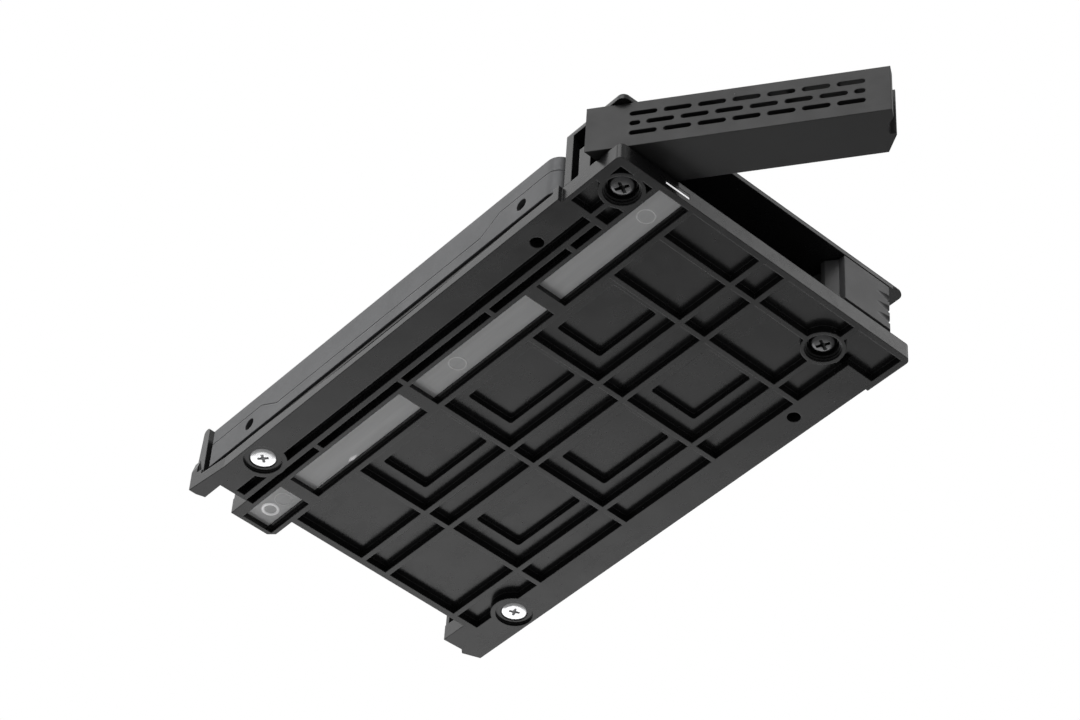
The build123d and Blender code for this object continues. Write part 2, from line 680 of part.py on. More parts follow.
def above_seam(drop):
    """Everything above the stepped seam of the cover, moved down by an amount."""
    low = DRIVE_Z + SEAM_LOW - drop
    high = DRIVE_Z + SEAM_HIGH - drop
    front = [DRIVE_FRONT + y for y in SEAM_FRONT]
    back = [DRIVE_BACK - y for y in SEAM_BACK]
    points = [
        (-FAR, high), (front[0], high), (front[1], low), (back[0], low), (back[1], high), (FAR, high),
        (FAR, FAR), (-FAR, FAR),
    ]
    face = make_face(Polyline(*[(0, y, z) for y, z in points], close=True))
    return extrude(face, FAR, dir=(1, 0, 0), both=True)


def cover_screw_spots():
    """The six cover screws."""
    x = DRIVE_W / 2 - COVER_SCREW_IN
    ends = (DRIVE_FRONT + COVER_SCREW_IN, CASE_BACK - COVER_SCREW_IN)
    return [(side * x, y) for side in (-1, 1) for y in (ends[0], sum(ends) / 2, ends[1])]


def make_drive_cover():
    """The pressed cover: top with a stamped ring and a skirt that follows the seam."""
    shell = case(0, (DRIVE_Z, DRIVE_TOP)) - case(COVER_SHEET, (-FAR, DRIVE_TOP - COVER_SHEET))
    shell = chamfer(shell.faces().sort_by(Axis.Z)[-1].edges(), COVER_EDGE)
    shell = shell & above_seam(0)
    dish = rod(MOTOR, DISH_R, (DRIVE_TOP - DISH_DEEP, FAR)) - rod(MOTOR, DISH_HUB_R, ALL)
    shell = shell - dish
    head_r = COVER_SCREW_HEAD[0] + FIT
    for at in cover_screw_spots():
        shell = shell - rod(at, head_r, (DRIVE_TOP - DISH_DEEP, FAR)) - rod(at, COVER_SCREW_R + FIT, ALL)
    return shell


def make_drive_gasket():
    """The thin seal that shows in the seam, between casting and cover."""
    band = case(COVER_SHEET + RUN_GAP, (CASE_TOP, CASE_TOP + GASKET_T))
    band = band - case(HOLE_TO_SIDE + COVER_SHEET, ALL)
    for at in cover_screw_spots():
        band = band + rod(at, COVER_SCREW_HEAD[0] + COVER_SHEET, (CASE_TOP, CASE_TOP + GASKET_T))
    band = band & case(COVER_SHEET + RUN_GAP, ALL)
    for at in cover_screw_spots():
        band = band - rod(at, COVER_SCREW_R + FIT, ALL)
    return band


def make_drive_base():
    """The casting: seat for the cover, board bay below, screw holes in sides and bottom."""
    body = case(0, (DRIVE_Z, CASE_TOP))
    skirt = case(0, (0, FAR)) - case(COVER_SHEET + RUN_GAP, ALL)
    body = body - (skirt & above_seam(SEAM_GAP))
    half = DRIVE_W / 2 - BOARD_IN + BOX_GAP
    bay_front = CASE_BACK - BOARD_L - BOX_GAP
    body = body - block((-half, half), (bay_front, FAR), (0, DRIVE_Z + BAY_DEEP))
    plug = (PLUG_SIDES[0] - FIT, PLUG_SIDES[1] + FIT)
    body = body - block(plug, (DRIVE_BACK - PLUG_L - FIT, FAR), (0, DRIVE_Z + PLUG_Z[1] + NEAR))
    body = body - rod(MOTOR, MOTOR_R + FIT, (0, DRIVE_Z + MOTOR_Z[1]))
    for x, y in HOLES:
        side = 1 if x > 0 else -1
        body = body - rod((x, y), M3_TAP_R, (0, DRIVE_Z + HOLE_DEEP))
        hole = Rot(0, 90, 0) * Cylinder(M3_TAP_R, 2 * HOLE_DEEP)
        body = body - Pos(side * DRIVE_W / 2, y, DRIVE_Z + SIDE_HOLE_H) * hole
    for at in cover_screw_spots():
        body = body - rod(at, COVER_SCREW_R, (CASE_TOP - COVER_SCREW_L, FAR))
    return body


def board_sides():
    """Half width, front Y and rear Y of the circuit board."""
    return DRIVE_W / 2 - BOARD_IN, CASE_BACK - BOARD_L, CASE_BACK - FIT


def board_screw_spots():
    """The board's three screws, near its corners."""
    half, front, rear = board_sides()
    x = half - HOLE_DEEP
    return [(-x, front + HOLE_DEEP), (-x, rear - PLUG_L), (x, front + BOARD_NOTCH[1] + HOLE_DEEP)]


def make_drive_pcb():
    """The circuit board in the casting's underside, notched beside the motor and round the plug."""
    half, front, rear = board_sides()
    board = block((-half, half), (front, rear), (DRIVE_Z + BOARD_Z[0], DRIVE_Z + BOARD_Z[1]))
    board = board - block((half - BOARD_NOTCH[0], FAR), (-FAR, front + BOARD_NOTCH[1]), ALL)
    plug = (PLUG_SIDES[0] - FIT, PLUG_SIDES[1] + FIT)
    board = board - block(plug, (DRIVE_BACK - PLUG_L, FAR), ALL)
    for at in board_screw_spots():
        board = board - rod(at, BOARD_SCREW_R + NEAR, ALL)
    return board


def chip_spots():
    """Centre, width and length of each package, from its shares of the board's half and length."""
    half, front, rear = board_sides()
    along = rear - front
    return [(x * half, front + y * along, w * half, l * along) for x, y, w, l in CHIPS]


def make_drive_insulator():
    """The foam sheet above the board, open where the packages are."""
    half, front, rear = board_sides()
    z = (DRIVE_Z + BOARD_Z[1], DRIVE_Z + BOARD_Z[1] + FOAM_T)
    sheet = block((FOAM_IN - half, half - FOAM_IN), (front + FOAM_IN, DRIVE_BACK - PLUG_L - FOAM_IN), z)
    notch = (half - BOARD_NOTCH[0] - FOAM_IN, front + BOARD_NOTCH[1] + FOAM_IN)
    sheet = sheet - block((notch[0], FAR), (-FAR, notch[1]), ALL)
    for at in board_screw_spots():
        sheet = sheet - rod(at, BOARD_SCREW_HEAD[0] + NEAR, ALL)
    for x, y, w, l in chip_spots():
        reach = (w / 2 + FIT, l / 2 + FIT)
        sheet = sheet - block((x - reach[0], x + reach[0]), (y - reach[1], y + reach[1]), ALL)
    return sheet


def make_drive_chips():
    """The packages on the board's inner face."""
    z = (DRIVE_Z + BOARD_Z[1], DRIVE_Z + BOARD_Z[1] + CHIP_H)
    return [block((x - w / 2, x + w / 2), (y - l / 2, y + l / 2), z) for x, y, w, l in chip_spots()]


def make_drive_motor():
    """The spindle motor's flange with its ring groove, in the casting's underside."""
    flange = rod(MOTOR, MOTOR_R, (DRIVE_Z + MOTOR_Z[0], DRIVE_Z + MOTOR_Z[1]))
    ring = rod(MOTOR, MOTOR_RING[1], (0, DRIVE_Z + COVER_SHEET)) - rod(MOTOR, MOTOR_RING[0], ALL)
    return flange - ring


def make_drive_connector():
    """The serial ATA plug's housing, its lower lip set back, with two blades and their gap."""
    z = (DRIVE_Z + PLUG_Z[0], DRIVE_Z + PLUG_Z[1])
    body = block(PLUG_SIDES, (DRIVE_BACK - PLUG_L, DRIVE_BACK), z)
    mouth = (PLUG_SIDES[0] + PLUG_WALL, PLUG_SIDES[1] - PLUG_WALL)
    inside = (z[0] + PLUG_FLOOR, z[1] - PLUG_FLOOR)
    body = body - block(mouth, (DRIVE_BACK - BLADE_L, FAR), inside)
    body = body - block(ALL, (CASE_BACK, FAR), (0, DRIVE_Z + PLUG_LIP_Z))
    for span in blade_spans():
        blade = (DRIVE_Z + BLADE_Z[0], DRIVE_Z + BLADE_Z[1])
        body = body + block(span, (DRIVE_BACK - BLADE_L - PLUG_FLOOR, DRIVE_BACK - FIT), blade)
    return body


def blade_spans():
    """Left and right X of the plug's power and signal blades."""
    start = PLUG_SIDES[0] + BLADE_IN
    second = start + BLADE_W[0] + BLADE_GAP
    return [(start, start + BLADE_W[0]), (second, second + BLADE_W[1])]


def make_drive_contacts():
    """The contacts on the underside of the two blades."""
    pins = []
    z = (DRIVE_Z + BLADE_Z[0] - PIN_T, DRIVE_Z + BLADE_Z[0])
    y = (DRIVE_BACK - BLADE_L + FIT, DRIVE_BACK - BLADE_L + FIT + PIN_L)
    for (a, b), count in zip(blade_spans(), PIN_COUNTS):
        for i in range(count):
            x = a + (b - a) * (i + 0.5) / count
            pins.append(block((x - PIN_W / 2, x + PIN_W / 2), y, z))
    return pins


def make_drive_cover_screws():
    """The six screws of the drive's cover, heads up."""
    head_r, head_t = COVER_SCREW_HEAD
    seat = DRIVE_TOP - DISH_DEEP
    screws = []
    for at in cover_screw_spots():
        shaft = rod(at, COVER_SCREW_R, (CASE_TOP - COVER_SCREW_L, seat))
        screws.append(shaft + rod(at, head_r, (seat, seat + head_t)))
    return screws


def make_drive_pcb_screws():
    """The board's screws, heads down."""
    head_r, head_t = BOARD_SCREW_HEAD
    low = DRIVE_Z + BOARD_Z[0]
    screws = []
    for at in board_screw_spots():
        shaft = rod(at, BOARD_SCREW_R, (low, low + BOARD_SCREW_L))
        screws.append(shaft + rod(at, head_r, (low - head_t, low)))
    return screws


NODES = {
    "tray_base": make_tray_base,
    "bezel_cover": make_bezel_cover,
    "light_pipe": make_light_pipe,
    "handle": make_handle,
    "handle_spring": make_handle_spring,
    "latch": make_latch,
    "latch_spring": make_latch_spring,
    "pivot_screws": lambda: [pan_screw(at) for at in (HINGE, PIVOT)],
    "pivot_washers": lambda: [washer(at) for at in (HINGE, PIVOT)],
    "drive_screws": lambda: [flat_screw(at) for at in REAR_HOLES],
    "drive_base": make_drive_base,
    "drive_cover": make_drive_cover,
    "drive_gasket": make_drive_gasket,
    "drive_cover_screws": make_drive_cover_screws,
    "drive_motor": make_drive_motor,
    "drive_pcb": make_drive_pcb,
    "drive_insulator": make_drive_insulator,
    "drive_chips": make_drive_chips,
    "drive_pcb_screws": make_drive_pcb_screws,
    "drive_connector": make_drive_connector,
    "drive_contacts": make_drive_contacts,
}

for name, make in NODES.items():
    shape = make()
    if isinstance(shape, list):
        shape = Compound(children=shape)
    export_step(shape, f"parts/{name}.step")
    print(name, len(shape.solids()), round(shape.volume, 1))
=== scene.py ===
import json
import math

import bmesh
import bpy
from mathutils import Matrix, Vector


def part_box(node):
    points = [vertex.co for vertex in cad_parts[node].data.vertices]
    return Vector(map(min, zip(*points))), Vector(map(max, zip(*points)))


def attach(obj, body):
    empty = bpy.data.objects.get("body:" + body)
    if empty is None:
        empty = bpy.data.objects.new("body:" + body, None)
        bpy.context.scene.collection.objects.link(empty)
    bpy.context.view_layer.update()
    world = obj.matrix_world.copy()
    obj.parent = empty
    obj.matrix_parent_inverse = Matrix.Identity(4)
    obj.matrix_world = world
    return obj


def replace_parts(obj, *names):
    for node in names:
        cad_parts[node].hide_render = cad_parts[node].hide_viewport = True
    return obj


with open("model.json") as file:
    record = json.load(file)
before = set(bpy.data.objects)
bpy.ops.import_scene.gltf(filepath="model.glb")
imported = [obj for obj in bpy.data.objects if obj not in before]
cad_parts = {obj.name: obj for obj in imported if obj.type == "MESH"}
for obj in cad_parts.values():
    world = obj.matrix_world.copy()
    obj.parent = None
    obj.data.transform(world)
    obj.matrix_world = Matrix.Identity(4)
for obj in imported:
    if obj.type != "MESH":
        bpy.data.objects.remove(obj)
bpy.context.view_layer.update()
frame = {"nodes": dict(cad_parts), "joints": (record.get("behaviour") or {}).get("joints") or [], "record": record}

NODES = frame["nodes"]
MM = 0.001

# The light pipe's front face and underside, in metres.
PIPE_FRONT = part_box("light_pipe")[0].y
PIPE_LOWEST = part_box("light_pipe")[0].z


# Shader helpers. Heights and radii are in metres. A noise is given by its scale per metre, its
# detail, its roughness and, where it has one, its stretch.

# The range that most values of a noise lie in.
NOISE_RANGE = (0.3, 0.7)

BEVEL_SAMPLES = 6

# Cosines of the angle between the rounded and the flat normal, on an edge and on a flat face.
EDGE_COSINES = (0.75, 0.99)

# The share of a speck's radius that is fully inside it.
SPECK_CORE = 0.6


def new_material(name):
    """An empty node material with its output and principled shader."""
    material = bpy.data.materials.new(name)
    material.use_nodes = True
    tree = material.node_tree
    tree.nodes.clear()
    output = tree.nodes.new("ShaderNodeOutputMaterial")
    shader = tree.nodes.new("ShaderNodeBsdfPrincipled")
    tree.links.new(shader.outputs["BSDF"], output.inputs["Surface"])
    return material, tree, shader


def add(tree, kind, **values):
    """A node with its settings, and its inputs given by name."""
    node = tree.nodes.new(kind)
    inputs = values.pop("inputs", {})
    for key, value in values.items():
        setattr(node, key, value)
    for key, value in inputs.items():
        node.inputs[key].default_value = value
    return node


def object_point(tree):
    """The point on the piece in its own space, in metres."""
    return add(tree, "ShaderNodeTexCoord").outputs["Object"]


def noise(tree, point, scale, detail=3.0, roughness=0.55, stretch=None):
    """A noise value, stretched along an axis if asked."""
    if stretch:
        mapping = add(tree, "ShaderNodeMapping")
        mapping.inputs["Scale"].default_value = stretch
        tree.links.new(point, mapping.inputs["Vector"])
        point = mapping.outputs["Vector"]
    settings = {"Scale": scale, "Detail": detail, "Roughness": roughness}
    node = add(tree, "ShaderNodeTexNoise", inputs=settings)
    tree.links.new(point, node.inputs["Vector"])
    return node.outputs["Fac"]


def ramp(tree, value, first, second, places=NOISE_RANGE):
    """Runs from one colour or grey to another between two places of a value."""
    node = add(tree, "ShaderNodeValToRGB")
    for element, place, colour in zip(node.color_ramp.elements, places, (first, second)):
        element.position = place
        if isinstance(colour, float):
            colour = (colour, colour, colour)
        element.color = (*colour, 1.0)
    tree.links.new(value, node.inputs["Fac"])
    return node.outputs["Color"]


def spread(tree, value, low, high, from_low=0.0, from_high=1.0):
    """Maps a value to a new range."""
    node = add(tree, "ShaderNodeMapRange", inputs={
        "From Min": from_low, "From Max": from_high, "To Min": low, "To Max": high})
    tree.links.new(value, node.inputs["Value"])
    return node.outputs["Result"]


def patchy(tree, value, middle, swing):
    """A roughness that falls and rises about its middle with a noise value."""
    return spread(tree, value, middle - swing[0], middle + swing[1], *NOISE_RANGE)


def blend(tree, share, first, second):
    """Mixes two colours by a share."""
    node = add(tree, "ShaderNodeMix", data_type="RGBA")
    tree.links.new(share, node.inputs["Factor"])
    for socket, value in ((node.inputs[6], first), (node.inputs[7], second)):
        if isinstance(value, tuple):
            socket.default_value = (*value, 1.0)
        else:
            tree.links.new(value, socket)
    return node.outputs[2]


def arithmetic(tree, operation, first, second):
    """A number from two numbers or values."""
    node = add(tree, "ShaderNodeMath", operation=operation)
    for socket, value in zip(node.inputs, (first, second)):
        if isinstance(value, (int, float)):
            socket.default_value = value
        else:
            tree.links.new(value, socket)
    return node.outputs[0]


def for_camera(tree, light, shown):
    """One shader as other things get its light, and another where the camera looks straight at it."""
    path = add(tree, "ShaderNodeLightPath")
    chosen = add(tree, "ShaderNodeMixShader")
    tree.links.new(path.outputs["Is Camera Ray"], chosen.inputs[0])
    tree.links.new(light, chosen.inputs[1])
    tree.links.new(shown, chosen.inputs[2])
    return chosen.outputs[0]


def soft_edge(tree, radius):
    """The surface normal with edges rounded to a radius."""
    node = add(tree, "ShaderNodeBevel", samples=BEVEL_SAMPLES, inputs={"Radius": radius})
    return node.outputs["Normal"]


def edge_share(tree, rounded):
    """1 on the rounded edges of a piece and 0 on its flat faces."""
    geometry = add(tree, "ShaderNodeNewGeometry")
    dot = add(tree, "ShaderNodeVectorMath", operation="DOT_PRODUCT")
    tree.links.new(rounded, dot.inputs[0])
    tree.links.new(geometry.outputs["Normal"], dot.inputs[1])
    return spread(tree, dot.outputs["Value"], 1.0, 0.0, *EDGE_COSINES)


def specks(tree, point, scale, size, share):
    """Sparse round specks: 1 inside a speck and 0 elsewhere."""
    cells = add(tree, "ShaderNodeTexVoronoi", inputs={"Scale": scale})
    tree.links.new(point, cells.inputs["Vector"])
    dot = spread(tree, cells.outputs["Distance"], 1.0, 0.0, size * SPECK_CORE, size)
    tint = add(tree, "ShaderNodeSeparateColor")
    tree.links.new(cells.outputs["Color"], tint.inputs["Color"])
    chosen = arithmetic(tree, "GREATER_THAN", tint.outputs["Red"], 1.0 - share)
    return arithmetic(tree, "MULTIPLY", dot, chosen)


def bumps(tree, shader, layers, normal=None):
    """Stacks height layers, each a value and its height, on a base normal."""
    for value, height in layers:
        node = add(tree, "ShaderNodeBump", inputs={"Strength": 1.0, "Distance": height})
        tree.links.new(value, node.inputs["Height"])
        if normal:
            tree.links.new(normal, node.inputs["Normal"])
        normal = node.outputs["Normal"]
    tree.links.new(normal, shader.inputs["Normal"])


# Moulded plastic. Dust is given by its scale, the size of its specks and their share.

PLASTIC_EDGE_R = 0.2 * MM
PLASTIC_CLOUD = (45.0, 4.0)
SCUFFS = (900.0, 5.0, 0.7)
SCUFF_RANGE = (0.42, 0.62)
WORN_EDGE = (0.06, 0.06, 0.0624)
DUST = (420.0, 0.055, 0.22)
DUST_COVER = 0.55
DUST_COLOUR = (0.3, 0.3, 0.31)
DUST_HEIGHT = 4e-5
GLOSS_PATCHES = (160.0, 5.0, 0.65)
GLOSS_SWING = (0.04, 0.05)
SCRATCHES = (260.0, 6.0, 0.75, (1.0, 0.12, 1.0))
SCRATCH_RANGE = (0.55, 0.75)
SCRATCH_ROUGH = 0.07
SINK_MARKS = (55.0, 2.0, 0.4)
SINK_HEIGHT = 9e-5
PLASTIC_GRAIN = (5200.0, 2.0, 0.5)
FINE_GRAIN = 3e-6
COARSE_GRAIN = 6e-6


def moulded_plastic(name, dark, light, rough, grain_height=FINE_GRAIN):
    """Black moulded plastic: fine spark grain, slow sink marks, paler worn edges, scuffs and dust."""
    material, tree, shader = new_material(name)
    point = object_point(tree)
    edges = soft_edge(tree, PLASTIC_EDGE_R)
    colour = ramp(tree, noise(tree, point, *PLASTIC_CLOUD), dark, light)
    scuff = spread(tree, noise(tree, point, *SCUFFS), 0.0, 1.0, *SCUFF_RANGE)
    wear = arithmetic(tree, "MULTIPLY", edge_share(tree, edges), scuff)
    colour = blend(tree, wear, colour, WORN_EDGE)
    dust = specks(tree, point, *DUST)
    colour = blend(tree, arithmetic(tree, "MULTIPLY", dust, DUST_COVER), colour, DUST_COLOUR)
    tree.links.new(colour, shader.inputs["Base Color"])
    patches = patchy(tree, noise(tree, point, *GLOSS_PATCHES), rough, GLOSS_SWING)
    scratch = spread(tree, noise(tree, point, *SCRATCHES), 0.0, SCRATCH_ROUGH, *SCRATCH_RANGE)
    tree.links.new(arithmetic(tree, "ADD", patches, scratch), shader.inputs["Roughness"])
    grain = noise(tree, point, *PLASTIC_GRAIN)
    sink = noise(tree, point, *SINK_MARKS)
    bumps(tree, shader, [(sink, SINK_HEIGHT), (grain, grain_height), (dust, DUST_HEIGHT)], edges)
    return material


# The light pipe. Its front face is dark, with its low edge painted near white and given a painted glow, and its
# marks glow a little as painted highlights.

PIPE_EDGE_R = 0.2 * MM
FLOW_LINES = (300.0, 4.0, 0.6, (1.0, 0.08, 1.0))
FLOW_HEIGHT = 3e-5
FLOW_ROUGH = (0.22, 0.38)
FROST = (4200.0, 2.0)
FROST_HEIGHT = 4e-6
END_REACH = 0.05 * MM
END_COLOUR = (0.03, 0.03, 0.031)
# The band at the front face's low edge is painted near white and given a glow: painted light.
PAINTED_GLOW_BAND = 0.42 * MM
PAINTED_GLOW_COLOUR = (0.9, 0.9, 0.91)
PAINTED_GLOW_STRENGTH = 0.75
# The marks' glow is a painted highlight.
MARK_PAINTED_GLOW = 0.06
BRIGHT_PAINTED_GLOW = 0.22

# The shares of a glow in the dark and in the light flow lines.
GLOW_SWING = (0.6, 1.4)


def frosted_clear(name, dark, light, glow=0.0):
    """The light pipe's clear plastic: frosted, with faint flow lines, a dark front end whose low edge has a
    painted glow, and a painted glow for its marks.
    """
    material, tree, shader = new_material(name)
    point = object_point(tree)
    flow = noise(tree, point, *FLOW_LINES)
    colour = ramp(tree, flow, dark, light)
    place = add(tree, "ShaderNodeSeparateXYZ")
    tree.links.new(point, place.inputs["Vector"])
    end_face = arithmetic(tree, "LESS_THAN", place.outputs["Y"], PIPE_FRONT + END_REACH)
    low_edge = arithmetic(tree, "LESS_THAN", place.outputs["Z"], PIPE_LOWEST + PAINTED_GLOW_BAND)
    # The front face's low edge is painted near white and glows: a painted glow.
    painted_glow_strip = arithmetic(tree, "MULTIPLY", end_face, low_edge)
    colour = blend(tree, end_face, colour, END_COLOUR)
    colour = blend(tree, painted_glow_strip, colour, PAINTED_GLOW_COLOUR)
    tree.links.new(colour, shader.inputs["Base Color"])
    tree.links.new(colour, shader.inputs["Emission Color"])
    painted_glow = arithmetic(tree, "MULTIPLY", painted_glow_strip, PAINTED_GLOW_STRENGTH)
    # The marks' glow, brighter in the light flow lines, is a painted highlight.
    if glow:
        faint, strong = [glow * share for share in GLOW_SWING]
        painted_glow = arithmetic(tree, "ADD", painted_glow, spread(tree, flow, faint, strong, *NOISE_RANGE))
    tree.links.new(painted_glow, shader.inputs["Emission Strength"])
    tree.links.new(spread(tree, flow, *FLOW_ROUGH), shader.inputs["Roughness"])
    shader.inputs["Transmission Weight"].default_value = 0.25
    shader.inputs["IOR"].default_value = 1.49
    shader.inputs["Coat Weight"].default_value = 0.25
    shader.inputs["Coat Roughness"].default_value = 0.15
    frost = noise(tree, point, *FROST)
    rounded = soft_edge(tree, PIPE_EDGE_R)
    bumps(tree, shader, [(flow, FLOW_HEIGHT), (frost, FROST_HEIGHT)], rounded)
    return material


# Plated and turned metal.

METAL_EDGE_R = 0.1 * MM
BRUSHING = (700.0, 6.0, 0.65)
BRUSH_PLACES = (0.25, 0.75)
BRUSH_HEIGHT = 2e-6
EDGE_GAIN = 1.35
EDGE_COVER = 0.6
SMUDGES = (90.0, 4.0, 0.6)
SMUDGE_SWING = (0.06, 0.1)


def metal(name, dark, light, rough):
    """Metal with a fine grainy finish, smudges and brighter edges."""
    material, tree, shader = new_material(name)
    point = object_point(tree)
    edges = soft_edge(tree, METAL_EDGE_R)
    brush = noise(tree, point, *BRUSHING)
    colour = ramp(tree, brush, dark, light, BRUSH_PLACES)
    bright = tuple(min(1.0, c * EDGE_GAIN) for c in light)
    # Edges are paler by a fixed share.
    paler_edge_share = arithmetic(tree, "MULTIPLY", edge_share(tree, edges), EDGE_COVER)
    tree.links.new(blend(tree, paler_edge_share, colour, bright), shader.inputs["Base Color"])
    smudge = patchy(tree, noise(tree, point, *SMUDGES), rough, SMUDGE_SWING)
    tree.links.new(smudge, shader.inputs["Roughness"])
    shader.inputs["Metallic"].default_value = 1.0
    bumps(tree, shader, [(brush, BRUSH_HEIGHT)], edges)
    return material


# The drive's coated casting and cover.

CAST_EDGE_R = 0.25 * MM
CAST_GRAIN = (2600.0, 5.0, 0.7)
CAST_GRAIN_HEIGHT = 6e-6
CAST_CLOUD = (120.0, 4.0, 0.6)
CAST_WAVE_HEIGHT = 2e-5
CAST_SPECK_COVER = 0.35
CAST_SPECK_RANGE = (0.5, 0.75)
CAST_EDGE_COVER = 0.5
CAST_EDGE_COLOUR = (0.5, 0.5, 0.51)
CAST_ROUGH = (0.42, 0.58)


def cast_metal(name, dark, light, speck_colour):
    """Coated aluminium casting: fine shot-blasted grain over a slightly wavy skin."""
    material, tree, shader = new_material(name)
    point = object_point(tree)
    edges = soft_edge(tree, CAST_EDGE_R)
    grain = noise(tree, point, *CAST_GRAIN)
    cloud = noise(tree, point, *CAST_CLOUD)
    colour = ramp(tree, cloud, dark, light)
    speck = spread(tree, grain, 0.0, CAST_SPECK_COVER, *CAST_SPECK_RANGE)
    colour = blend(tree, speck, colour, speck_colour)
    # Edges are paler by a fixed share.
    paler_edge_share = arithmetic(tree, "MULTIPLY", edge_share(tree, edges), CAST_EDGE_COVER)
    tree.links.new(blend(tree, paler_edge_share, colour, CAST_EDGE_COLOUR), shader.inputs["Base Color"])
    shader.inputs["Metallic"].default_value = 0.6
    tree.links.new(spread(tree, grain, *CAST_ROUGH, *NOISE_RANGE), shader.inputs["Roughness"])
    bumps(tree, shader, [(cloud, CAST_WAVE_HEIGHT), (grain, CAST_GRAIN_HEIGHT)], edges)
    return material


# The drive's board, foam and gasket.

TRACKS = {
    "Scale": 420.0, "Mortar Size": 0.035, "Brick Width": 1.7, "Row Height": 0.22,
    "Color1": (0.004, 0.05, 0.022, 1), "Color2": (0.006, 0.06, 0.028, 1),
    "Mortar": (0.02, 0.13, 0.06, 1),
}
TRACK_HEIGHT = 1e-5
BOARD_CLOUD = 500.0
BOARD_ROUGH = (0.25, 0.42)
PORES = 2400.0
PORE_PLACES = (0.1, 0.6)
PORE_HEIGHT = 2.5e-5
SHEET_ROUGH = (0.7, 0.92)


def board_mask(name):
    """Green solder mask with faint copper tracks under it."""
    material, tree, shader = new_material(name)
    point = object_point(tree)
    tracks = add(tree, "ShaderNodeTexBrick", inputs=TRACKS)
    tree.links.new(point, tracks.inputs["Vector"])
    tree.links.new(tracks.outputs["Color"], shader.inputs["Base Color"])
    gloss = spread(tree, noise(tree, point, BOARD_CLOUD), *BOARD_ROUGH)
    tree.links.new(gloss, shader.inputs["Roughness"])
    bumps(tree, shader, [(tracks.outputs["Fac"], TRACK_HEIGHT)])
    return material


def soft_sheet(name, dark, light):
    """Dull foam or gasket rubber with open pores."""
    material, tree, shader = new_material(name)
    point = object_point(tree)
    cells = add(tree, "ShaderNodeTexVoronoi", inputs={"Scale": PORES})
    tree.links.new(point, cells.inputs["Vector"])
    pores = cells.outputs["Distance"]
    tree.links.new(ramp(tree, pores, dark, light, PORE_PLACES), shader.inputs["Base Color"])
    tree.links.new(spread(tree, pores, *SHEET_ROUGH), shader.inputs["Roughness"])
    bumps(tree, shader, [(pores, PORE_HEIGHT)])
    return material


# One material for each slot, from its darker and lighter colour and its roughness.

MATERIALS = {
    "tray_black": moulded_plastic(
        "tray_plastic", (0.011, 0.011, 0.0115), (0.0155, 0.0155, 0.016), 0.25),
    "handle_black": moulded_plastic(
        "handle_plastic", (0.016, 0.016, 0.0165), (0.022, 0.022, 0.0225), 0.42, COARSE_GRAIN),
    "latch_black": moulded_plastic(
        "latch_plastic", (0.095, 0.095, 0.097), (0.115, 0.115, 0.117), 0.42, COARSE_GRAIN),
    "clear_pipe": frosted_clear("light_pipe_clear", (0.66, 0.663, 0.666), (0.82, 0.823, 0.827)),
    "black_screw": metal("black_oxide", (0.11, 0.11, 0.112), (0.18, 0.18, 0.183), 0.24),
    "silver_screw": metal("nickel", (0.78, 0.78, 0.79), (0.92, 0.92, 0.93), 0.2),
    "spring_wire": metal("spring_steel", (0.42, 0.42, 0.43), (0.62, 0.62, 0.63), 0.28),
    "casting": cast_metal(
        "drive_casting", (0.13, 0.132, 0.136), (0.17, 0.172, 0.176), (0.24, 0.243, 0.248)),
    "cover_sheet": cast_metal(
        "drive_sheet", (0.14, 0.142, 0.146), (0.17, 0.172, 0.177), (0.21, 0.213, 0.218)),
    "gasket_foam": soft_sheet("gasket", (0.006, 0.006, 0.007), (0.02, 0.02, 0.021)),
    "board": board_mask("solder_mask"),
    "foam": soft_sheet("foam", (0.02, 0.02, 0.021), (0.07, 0.07, 0.072)),
    "chip": moulded_plastic("chip_epoxy", (0.012, 0.012, 0.013), (0.02, 0.02, 0.022), 0.5),
    "motor": metal("turned_motor", (0.5, 0.5, 0.51), (0.7, 0.7, 0.71), 0.24),
    "plug_black": moulded_plastic("plug_plastic", (0.01, 0.01, 0.011), (0.015, 0.015, 0.016), 0.38),
    "contact": metal("gold_flash", (0.72, 0.5, 0.2), (0.9, 0.68, 0.32), 0.2),
}

# The marks' near-white colours and their glow are painted highlights.
MARK_HIGHLIGHT_COLOURS = ((0.94, 0.94, 0.945), (0.99, 0.99, 0.99))
PIPE_MARK_HIGHLIGHT = frosted_clear("light_pipe_painted_highlight", *MARK_HIGHLIGHT_COLOURS, MARK_PAINTED_GLOW)
PIPE_BRIGHT_HIGHLIGHT = frosted_clear("light_pipe_bright_highlight", *MARK_HIGHLIGHT_COLOURS, BRIGHT_PAINTED_GLOW)

for entry in frame["record"]["subparts"]:
    node = NODES[entry["node"]]
    node.data.materials.clear()
    node.data.materials.append(MATERIALS[entry["material_slot"]])


# Mesh helpers. Points and sizes are in millimetres from here on.

def plain_object(name, points, faces):
    """An object from its points and faces, with its normals made to agree."""
    mesh = bpy.data.meshes.new(name)
    mesh.from_pydata([tuple(c * MM for c in p) for p in points], [], faces)
    shape = bmesh.new()
    shape.from_mesh(mesh)
    bmesh.ops.recalc_face_normals(shape, faces=shape.faces)
    shape.to_mesh(mesh)
    shape.free()
    piece = bpy.data.objects.new(name, mesh)
    bpy.context.scene.collection.objects.link(piece)
    return piece


def mesh_piece(name, points, faces, slot, body="tray"):
    """A smooth piece from its points and faces, riding on a body."""
    piece = plain_object(name, points, faces)
    for face in piece.data.polygons:
        face.use_smooth = True
    piece.data.materials.append(MATERIALS[slot])
    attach(piece, body)
    return piece


def side_faces(rings, sides):
    """The faces between stacked rings of points."""
    faces = []
    for i in range(rings - 1):
        for k in range(sides):
            a = i * sides + k
            b = i * sides + (k + 1) % sides
            faces.append((a, b, b + sides, a + sides))
    return faces


def end_faces(rings, sides):
    """The two faces that close a stack of rings."""
    return [tuple(range(sides)), tuple(range((rings - 1) * sides, rings * sides))]


